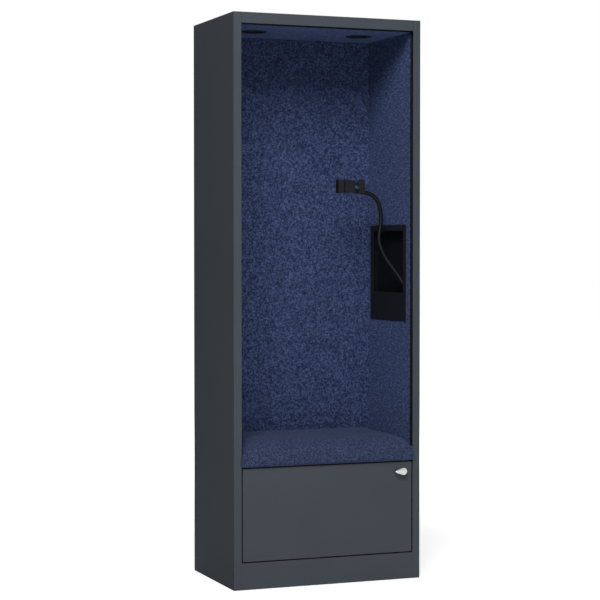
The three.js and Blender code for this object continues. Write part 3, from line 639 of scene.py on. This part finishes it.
def blow_up(cushion, low, high):
    """Fills the cushion. Steps are capped, and its ends, back and top keep to the space for it."""
    rest = vertex_places(cushion.data)
    step = cushion_cloth(cushion, low.z) - rest
    size = np.maximum(np.linalg.norm(step, axis=1, keepdims=True), 1e-9)
    full = rest + step * CUSHION_CAP * np.tanh(size / CUSHION_CAP) / size
    full[:, 0] = np.clip(full[:, 0], low.x, high.x)
    full[:, 1] = np.minimum(full[:, 1], high.y)
    full[:, 2] = np.clip(full[:, 2], low.z, high.z + CUSHION_RISE)
    place_vertices(cushion.data, full)


def seat_cushion():
    low, high = (Vector(corner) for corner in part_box("seat_cushion"))
    cushion = cushion_blank(low, high)
    blow_up(cushion, low, high)
    relax(cushion.data, CUSHION_ROUNDS)
    let_out_front(cushion.data, high.x)
    cushion.modifiers.new("fine", "SUBSURF").render_levels = 1
    cushion.data.polygons.foreach_set("use_smooth", [True] * len(cushion.data.polygons))
    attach(cushion, "cabinet")
    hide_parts("seat_cushion")


# Gooseneck
def catmull_rom(points, per_span):
    """Centripetal Catmull-Rom curve through the points."""
    points = [Vector(point) for point in points]
    padded = [2 * points[0] - points[1], *points, 2 * points[-1] - points[-2]]
    path = []
    for p0, p1, p2, p3 in zip(padded, padded[1:], padded[2:], padded[3:]):
        d0, d1, d2 = ((b - a).length ** 0.5 for a, b in ((p0, p1), (p1, p2), (p2, p3)))
        t1 = ((p1 - p0) / d0 - (p2 - p0) / (d0 + d1) + (p2 - p1) / d1) * d1
        t2 = ((p2 - p1) / d1 - (p3 - p1) / (d1 + d2) + (p3 - p2) / d2) * d1
        for i in range(per_span):
            t = i / per_span
            cubic = 2 * p1 - 2 * p2 + t1 + t2
            square = -3 * p1 + 3 * p2 - 2 * t1 - t2
            path.append(p1 + t1 * t + square * t * t + cubic * t ** 3)
    path.append(points[-1])
    return path


class Route:
    """A path measured along its length."""

    def __init__(self, points):
        self.points = points
        self.reach = [0.0]
        for a, b in zip(points, points[1:]):
            self.reach.append(self.reach[-1] + (b - a).length)
        self.length = self.reach[-1]

    def at(self, distance):
        distance = min(max(distance, 0.0), self.length)
        i = min(int(np.searchsorted(self.reach, distance, side="right")) - 1, len(self.points) - 2)
        share = (distance - self.reach[i]) / (self.reach[i + 1] - self.reach[i])
        return self.points[i].lerp(self.points[i + 1], share)


def tube(route, start, end, radius, sides):
    """A round tube along part of a route."""
    count = max(2, round((end - start) / NECK_STEP))
    places = [route.at(start + (end - start) * i / count) for i in range(count + 1)]
    bm = bmesh.new()
    rings = []
    side = Vector((1, 0, 0))
    for i, place in enumerate(places):
        ahead = (places[min(i + 1, count)] - places[max(i - 1, 0)]).normalized()
        side = (side - ahead * side.dot(ahead)).normalized()
        up = ahead.cross(side)
        rings.append([place + side * x + up * y for x, y in circle(radius, sides)])
    loft(bm, rings)
    return bm


def gooseneck():
    foot = centre("neck_base")
    foot.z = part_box("neck_base")[1][2] + FIT
    route = Route(catmull_rom([foot + Vector(point) * MM for point in NECK_ROUTE], NECK_SPAN_STEPS))
    split = NECK_SPLIT * route.length

    lower_tube = tube(route, 0.0, split, NECK_RADIUS, NECK_SIDES)
    lower = piece("gooseneck_lower", lower_tube, "neck_cover", None)
    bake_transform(lower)
    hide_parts("neck_root")

    upper_tube = tube(route, split, route.length, NECK_RADIUS, NECK_SIDES)
    upper = piece("gooseneck_upper", upper_tube, "neck_cover", None)
    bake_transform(upper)
    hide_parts("neck_middle", "neck_top")
    ball_stud(route.points[-1])


def ball_stud(neck_end):
    """End ferrule, stud and ball of the gooseneck, turned about Y."""
    ball = Vector(joints["holder_tilt"]["pos_m"])
    reach = neck_end.y - ball.y
    ball_radius = 8.0 * MM
    stud_radius = 3.5 * MM
    join = math.sqrt(ball_radius ** 2 - stud_radius ** 2)
    arc_end = math.atan2(stud_radius, join)
    steps = 16
    sphere = []
    for i in range(steps + 1):
        angle = math.pi - (math.pi - arc_end) * i / steps
        sphere.append((ball_radius * math.sin(angle), ball_radius * math.cos(angle)))
    ferrule_radius = NECK_RADIUS + 0.7 * MM
    ferrule_length = 5.0 * MM
    bevel = 1.0 * MM
    ferrule_end = reach + ferrule_length
    profile = [
        *sphere,
        (stud_radius, reach - bevel), (ferrule_radius - bevel, reach - bevel),
        (ferrule_radius, reach), (ferrule_radius, ferrule_end),
        (NECK_RADIUS, ferrule_end + bevel), (0.0, ferrule_end + bevel),
    ]
    stud = moved(revolved(profile, STUD_SIDES), ball, TO_Y)
    piece("gooseneck_ball", stud, "black_plastic", "neck_upper_arm")


# Phone clamp
def swivel_collar():
    """Knurled collar round the ball."""
    low, high = (Vector(corner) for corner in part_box("swivel_collar"))
    ball = Vector(joints["holder_tilt"]["pos_m"])
    radius = (high.x - low.x) / 2
    front, rear = low.y - ball.y, high.y - ball.y
    socket = 8.3 * MM
    mouth = math.sqrt(socket ** 2 - rear ** 2)
    mouth_land = 0.4 * MM
    chamfer = 1.2 * MM
    groove = 0.7 * MM
    groove_spacing = 4
    steps = 10
    start = math.acos(rear / socket)
    cup = []
    for i in range(steps + 1):
        angle = start + (math.pi - start) * i / steps
        cup.append((socket * math.sin(angle) if i < steps else 0.0, socket * math.cos(angle)))
    profile = [
        (0.0, front), (radius - chamfer, front), (radius, front + chamfer),
        (radius, rear - chamfer), (radius - chamfer, rear), (mouth + mouth_land, rear), *cup,
    ]

    def knurl(size, i):
        at_rim = size > radius - chamfer / 2
        return size - groove if at_rim and i % groove_spacing == 0 else size

    turned = moved(revolved(profile, COLLAR_SIDES, knurl), ball, TO_Y)
    collar = piece("swivel_collar_knurled", turned, "black_plastic", "swivel")
    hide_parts("swivel_collar")


def ribbed_pad(node, name, body, facing):
    """Rubber pad with ribs across one face, given by its axis and the side it is on."""
    low, high = (Vector(corner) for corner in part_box(node))
    axis, side = facing
    rib = 0.6 * MM
    pitch = 3.0 * MM
    rib_steps = 4
    steps = rib_steps * max(3, round((high.z - low.z) / pitch))
    bm = bmesh.new()
    rings = []
    for i in range(steps + 1):
        z = low.z + (high.z - low.z) * i / steps
        dent = rib * 0.5 * (1 - math.cos(2 * math.pi * i / rib_steps))
        a, b = low.copy(), high.copy()
        if side < 0:
            a[axis] += dent
        else:
            b[axis] -= dent
        rings.append([(a.x, a.y, z), (b.x, a.y, z), (b.x, b.y, z), (a.x, b.y, z)])
    loft(bm, rings)
    pad = piece(name, bm, "rubber", body, sharp=50.0)
    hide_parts(node)


def phone_clamp():
    swivel_collar()
    ribbed_pad("jaw_pad_left", "jaw_pad_left_ribbed", "jaw_left", (0, 1))
    ribbed_pad("jaw_pad_right", "jaw_pad_right_ribbed", "jaw_right", (0, -1))


# Lock knob
def pear(radius, tip_radius, reach, count):
    """Outline of the knob: two discs, the smaller at the lever's end, joined by straight flanks."""
    spread = math.acos((radius - tip_radius) / reach)
    points = []
    for i in range(count + 1):
        angle = -math.pi + spread + (2 * math.pi - 2 * spread) * i / count
        points.append((radius * math.cos(angle), radius * math.sin(angle)))
    for i in range(count // 2 + 1):
        angle = math.pi - spread + 2 * spread * i / (count // 2)
        points.append((-reach + tip_radius * math.cos(angle), tip_radius * math.sin(angle)))
    return points


def knob_head(front, back):
    """The pear, rounded at the front and bevelled at the back."""
    radius = 13.5 * MM
    tip_radius = 5.5 * MM
    reach = 25.5 * MM
    edge = 3.0 * MM
    bevel = 1.5 * MM
    bevel_steps = 4
    edge_steps = 8
    rings = []

    def ring(inset, depth):
        outline = pear(radius - inset, tip_radius - inset, reach, KNOB_SIDES)
        rings.append([(x, depth, z) for x, z in outline])

    for i in range(bevel_steps + 1):
        inset = bevel * (1 - math.sin(math.pi / 2 * i / bevel_steps))
        ring(inset, back - inset)
    for i in range(edge_steps + 1):
        turn = math.pi / 2 * i / edge_steps
        ring(edge * (1 - math.cos(turn)), front + edge * (1 - math.sin(turn)))
    bm = bmesh.new()
    loft(bm, rings)
    return bm


def knob_shaft(front, rear):
    """Neck and spindle, turned about Y."""
    neck = 8.0 * MM
    spindle = 4.6 * MM
    collar = -2.6 * MM  # depth where the neck steps down to the spindle
    chamfer = 0.8 * MM
    profile = [
        (0.0, front), (neck, front), (neck, collar), (spindle, collar),
        (spindle, rear - chamfer), (spindle - chamfer, rear), (0.0, rear),
    ]
    return moved(revolved(profile, KNOB_SIDES), Vector(), TO_Y)


def lock_knob():
    axis = Vector(joints["lock_turn"]["pos_m"])
    low, high = (Vector(corner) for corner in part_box("lock_knob"))
    front = low.y - axis.y
    rear = high.y - axis.y
    thickness = 10.0 * MM
    overlap = 2.0 * MM  # how far the neck runs into the head
    knob_mesh = knob_head(front, front + thickness)
    add_to(knob_mesh, knob_shaft(front + thickness - overlap, rear))
    knob = piece("lock_knob_cast", moved(knob_mesh, axis), "chrome", "lock", sharp=50.0)
    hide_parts("lock_knob")


# Lamps
def lamp_trim(side, place):
    """Turned ring with a rounded lip under the felt."""
    low, high = (Vector(corner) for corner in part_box(f"lamp_trim_{side}"))
    lens_low, lens_high = (Vector(corner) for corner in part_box(f"lamp_lens_{side}"))
    outer = (high.x - low.x) / 2
    bore = (lens_high.x - lens_low.x) / 2 + FIT
    tube_radius = 38.7 * MM
    mouth = 32.0 * MM
    flange = 2.4 * MM  # thickness of the solid's flange
    lip = 1.4 * MM  # thickness of the lip that shows
    outer_round = 1.2 * MM
    inner_round = 0.6 * MM
    face = low.z + flange
    under = face - lip
    ledge = lens_low.z - FIT
    outer_edge = rounded_step((mouth, under), (outer, under), (outer, face), outer_round, 6)
    inner_edge = rounded_step((mouth, ledge), (mouth, under), (outer, under), inner_round, 4)
    profile = [
        *inner_edge, *outer_edge, (outer, face), (tube_radius, face), (tube_radius, high.z),
        (bore, high.z), (bore, ledge), (mouth, ledge), inner_edge[0],
    ]
    ring = moved(revolved(profile, LAMP_SIDES), place)
    trim = piece(f"lamp_trim_{side}_turned", ring, "black_paint", "cabinet")
    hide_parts(f"lamp_trim_{side}")


def lamp_lens(side, place):
    """Diffuser with rings moulded into its underside."""
    low, high = (Vector(corner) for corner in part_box(f"lamp_lens_{side}"))
    radius = (high.x - low.x) / 2
    ripples = 14
    ripple = 0.5 * MM
    ripple_steps = 4
    steps = ripples * ripple_steps
    wave = [(0.0, low.z)]
    for i in range(1, steps):
        rise = ripple * 0.5 * (1 - math.cos(2 * math.pi * i / ripple_steps))
        wave.append((radius * i / steps, low.z + rise))
    profile = [*wave, (radius, low.z), (radius, high.z), (0.0, high.z)]
    disc = moved(revolved(profile, LENS_SIDES), place)
    diffuser = piece(f"lamp_lens_{side}_rippled", disc, "lens", "cabinet")
    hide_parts(f"lamp_lens_{side}")


def lamps():
    for side in ("left", "right"):
        place = centre(f"lamp_trim_{side}")
        place.z = 0.0
        lamp_trim(side, place)
        lamp_lens(side, place)


# Screws on the rear flanges
def countersunk_screw(radius):
    """Flush screw head with a round drive recess, facing +Z."""
    proud = 0.05 * MM
    recess = -0.9 * MM
    profile = [
        (0.0, recess), (radius * 0.34, recess), (radius * 0.42, proud), (radius * 0.9, proud),
        (radius, -0.1 * MM), (radius * 0.7, -0.8 * MM), (0.0, -1.0 * MM),
    ]
    return revolved(profile, SCREW_SIDES)


def back_screws():
    low, high = (Vector(corner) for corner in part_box("side_panel_right"))
    rows = 8
    margin = 70 * MM
    inset = 11 * MM
    radius = 4 * MM
    together = bmesh.new()
    for side in (-1, 1):
        for i in range(rows):
            z = low.z + margin + (high.z - low.z - 2 * margin) * i / (rows - 1)
            head = moved(countersunk_screw(radius), (side * (high.x - inset), high.y, z), TO_Y)
            add_to(together, head)
    piece("back_panel_screws", together, "zinc", "cabinet")


# Stage
def seen_ray(tree):
    """1 where the camera, a reflection or clear glass looks, 0 for the rest of the light."""
    path = tree.nodes.new("ShaderNodeLightPath")
    seen = path.outputs["Is Camera Ray"]
    for ray in ("Is Glossy Ray", "Is Transmission Ray"):
        either = tree.nodes.new("ShaderNodeMath")
        either.operation = "MAXIMUM"
        tree.links.new(seen, either.inputs[0])
        tree.links.new(path.outputs[ray], either.inputs[1])
        seen = either.outputs["Value"]
    return seen


def floor_material():
    """Pale and matt, with a glow for the camera that grows with the distance from the object."""
    material = bpy.data.materials.new("pale_floor")
    material.use_nodes = True
    tree = material.node_tree
    tree.nodes.clear()
    output = tree.nodes.new("ShaderNodeOutputMaterial")
    diffuse = tree.nodes.new("ShaderNodeBsdfDiffuse")
    diffuse.inputs["Color"].default_value = (FLOOR_COLOUR, FLOOR_COLOUR, FLOOR_COLOUR, 1.0)
    place = tree.nodes.new("ShaderNodeTexCoord")
    distance = tree.nodes.new("ShaderNodeVectorMath")
    distance.operation = "LENGTH"
    glow_level = tree.nodes.new("ShaderNodeMapRange")
    glow_level.inputs["From Min"].default_value = FLOOR_FADE[0]
    glow_level.inputs["From Max"].default_value = FLOOR_FADE[1]
    glow_level.inputs["To Min"].default_value = FLOOR_GLOW
    glow_level.inputs["To Max"].default_value = 1.0
    seen = seen_ray(tree)
    strength = tree.nodes.new("ShaderNodeMath")
    strength.operation = "MULTIPLY"
    glow = tree.nodes.new("ShaderNodeEmission")
    both = tree.nodes.new("ShaderNodeAddShader")
    tree.links.new(place.outputs["Object"], distance.inputs[0])
    tree.links.new(distance.outputs["Value"], glow_level.inputs["Value"])
    tree.links.new(seen, strength.inputs[0])
    tree.links.new(glow_level.outputs["Result"], strength.inputs[1])
    tree.links.new(strength.outputs["Value"], glow.inputs["Strength"])
    tree.links.new(diffuse.outputs["BSDF"], both.inputs[0])
    tree.links.new(glow.outputs["Emission"], both.inputs[1])
    tree.links.new(both.outputs["Shader"], output.inputs["Surface"])
    return material


def floor():
    bm = bmesh.new()
    bmesh.ops.create_grid(bm, x_segments=8, y_segments=8, size=FLOOR_SIZE / 2)
    mesh = bpy.data.meshes.new("studio_floor")
    bm.to_mesh(mesh)
    bm.free()
    mesh.materials.append(floor_material())
    plane = bpy.data.objects.new("studio_floor", mesh)
    bpy.context.scene.collection.objects.link(plane)


def area_light(name, place, power, size):
    data = bpy.data.lights.new(name, "AREA")
    data.energy = power
    data.size = size
    light = bpy.data.objects.new(name, data)
    light.location = place
    light.rotation_euler = (Vector(AIM) - Vector(place)).to_track_quat("-Z", "Y").to_euler()
    bpy.context.scene.collection.objects.link(light)


def world():
    """White where the camera and reflections see it, a soft fill for the rest of the light."""
    surroundings = bpy.data.worlds.new("studio")
    bpy.context.scene.world = surroundings
    surroundings.use_nodes = True
    tree = surroundings.node_tree
    background = tree.nodes["Background"]
    seen = seen_ray(tree)
    level = tree.nodes.new("ShaderNodeMapRange")
    level.inputs["To Min"].default_value = WORLD_FILL
    level.inputs["To Max"].default_value = 1.0
    tree.links.new(seen, level.inputs["Value"])
    tree.links.new(level.outputs["Result"], background.inputs["Strength"])
    background.inputs["Color"].default_value = (1.0, 1.0, 1.0, 1.0)


def camera():
    data = bpy.data.cameras.new("camera")
    data.lens = CAMERA_LENS
    data.sensor_width = CAMERA_SENSOR
    eye = bpy.data.objects.new("camera", data)
    eye.location = CAMERA_PLACE
    eye.rotation_euler = (math.radians(90 - CAMERA_PITCH), 0.0, math.radians(-CAMERA_YAW))
    bpy.context.scene.collection.objects.link(eye)
    bpy.context.scene.camera = eye


def studio():
    camera()
    world()
    floor()
    area_light("key", KEY_PLACE, KEY_POWER, KEY_SIZE)
    area_light("low_fill", LOW_FILL_PLACE, LOW_FILL_POWER, LOW_FILL_SIZE)
    area_light("rear", REAR_PLACE, REAR_POWER, REAR_SIZE)
    bpy.context.scene.view_settings.view_transform = "Standard"


studio()
dress_solids()
felt_panels()
seat_cushion()
gooseneck()
phone_clamp()
lock_knob()
lamps()
back_screws()
